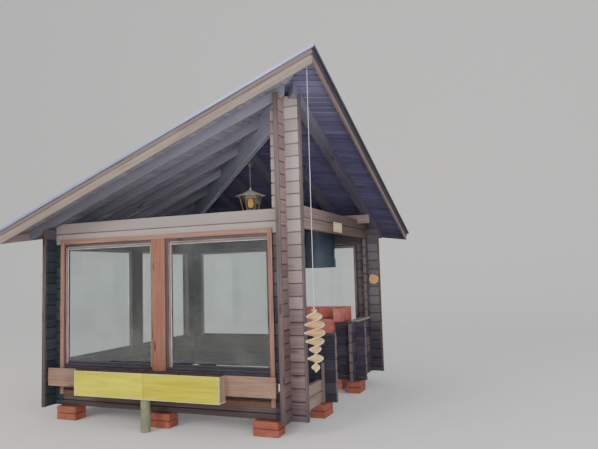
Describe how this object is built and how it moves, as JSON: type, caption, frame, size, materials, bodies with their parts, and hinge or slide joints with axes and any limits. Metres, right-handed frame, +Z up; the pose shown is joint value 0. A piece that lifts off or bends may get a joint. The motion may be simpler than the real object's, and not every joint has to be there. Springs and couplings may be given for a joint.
{
  "type": "log grill shelter",
  "caption": "Square log shelter with crossed corners, glazed sides, an open entrance side, a brick fireplace with a hood, and a roof folded along its diagonal.",
  "frame": {"origin": "under the middle of the roof, on the ground that the foundation blocks stand on", "axes": "+X to the right along the front wall with the large window, +Y to the back, +Z up"},
  "size_m": [4.3, 4.3, 4.0159],
  "materials": {
    "barge_wood": "light brown stained boards",
    "casing_wood": "reddish brown stained casing boards",
    "edge_metal": "pale coated sheet metal edge",
    "hood_steel": "black heat resistant paint on sheet steel",
    "lantern_metal": "aged brass",
    "log_wood": "planed softwood with a dark brown translucent stain, weathered",
    "pale_string": "pale twisted string",
    "pane_glass": "clear window glass",
    "plaque_wood": "plain light wood",
    "prop_stone": "grey cast concrete",
    "red_brick": "red fired brick with pale mortar",
    "rod_steel": "plain steel rod",
    "roof_felt": "dark mineral roofing felt",
    "roof_wood": "sawn boards with dark brown stain",
    "sash_paint": "light grey painted sash",
    "shelf_wood": "brown stained board",
    "slat_wood": "pale thin wooden slats",
    "yellow_paint": "yellow painted boards"
  },
  "bodies": {
    "root": {"back_barge_board": "barge_wood", "back_edge_trim": "edge_metal", "back_ring_beam": "log_wood", "back_sill_logs": "log_wood", "back_window_frame": "casing_wood", "back_window_glass": "pane_glass", "back_window_sashes": "sash_paint", "blank_plaque": "plaque_wood", "brick_fireplace": "red_brick", "corner_batten": "barge_wood", "corner_post_back_left": "log_wood", "corner_post_back_right": "log_wood", "corner_post_front_left": "log_wood", "corner_post_front_right": "log_wood", "entrance_stub": "log_wood", "flue": "hood_steel", "foundation_blocks": "red_brick", "front_barge_board": "barge_wood", "front_edge_trim": "edge_metal", "front_ring_beam": "log_wood", "front_sill_logs": "log_wood", "front_window_frame": "casing_wood", "front_window_glass": "pane_glass", "front_window_sashes": "sash_paint", "gable_post": "log_wood", "hood": "hood_steel", "lantern": "lantern_metal", "lantern_hanger": "rod_steel", "left_barge_board": "barge_wood", "left_edge_trim": "edge_metal", "left_rafters": "roof_wood", "left_ring_beam": "log_wood", "left_roof_boards": "roof_wood", "left_roof_cover": "roof_felt", "left_sill_logs": "log_wood", "left_window_frame": "casing_wood", "left_window_glass": "pane_glass", "left_window_sashes": "sash_paint", "log_end_boards": "casing_wood", "low_wall": "log_wood", "low_wall_cap": "barge_wood", "ornament_string": "pale_string", "planting_troughs": "yellow_paint", "ridge_beam": "roof_wood", "ridge_rod": "rod_steel", "right_barge_board": "barge_wood", "right_edge_trim": "edge_metal", "right_rafters": "roof_wood", "right_ring_beam": "log_wood", "right_roof_boards": "roof_wood", "right_roof_cover": "roof_felt", "right_sill_logs": "log_wood", "shelf_board": "shelf_wood", "tie_beam": "log_wood", "trough_prop": "prop_stone", "twist_ornament": "slat_wood", "wood_slice": "plaque_wood"}
  },
  "joints": []
}
